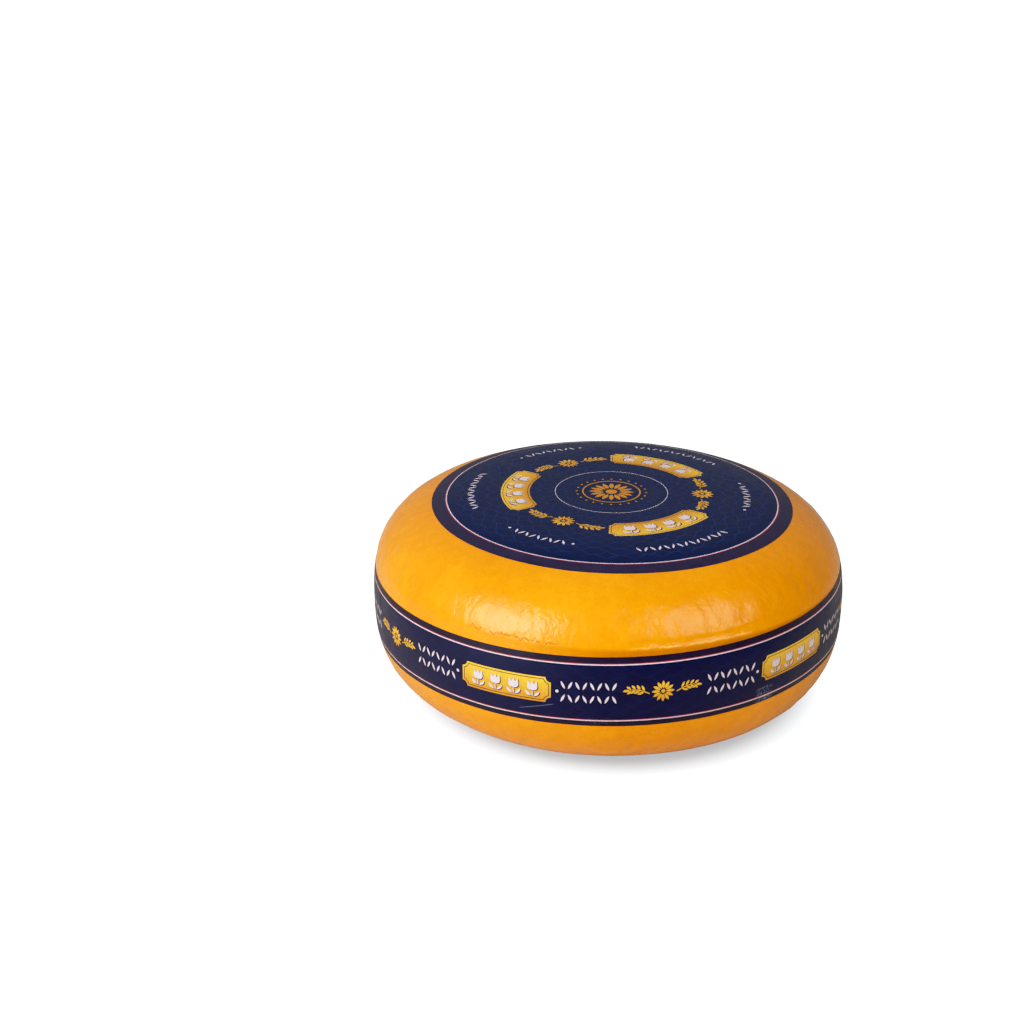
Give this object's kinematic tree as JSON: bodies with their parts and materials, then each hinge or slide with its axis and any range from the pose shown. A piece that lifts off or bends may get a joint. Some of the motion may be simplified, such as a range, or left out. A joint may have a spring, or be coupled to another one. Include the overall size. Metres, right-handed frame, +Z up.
{
  "type": "gouda wheel",
  "caption": "Whole small gouda wheel lying flat: a coated round cheese with full shoulders, a printed face label and a printed rim band.",
  "frame": {"origin": "middle of the flat face that the wheel rests on", "axes": "+Z up along the wheel's axis, from the resting face to the labelled face; the picture looks along +Y, with +X to its right"},
  "size_m": [0.2464, 0.2464, 0.1025],
  "materials": {
    "coating": "satin to glossy, yellow-orange cheese coating",
    "face_print": "satin printed film, navy with gold and white",
    "band_print": "satin printed film, navy with gold, red and white"
  },
  "bodies": {
    "root": {"cheese_wheel": "coating", "face_label": "face_print", "rim_band": "band_print"}
  },
  "joints": []
}
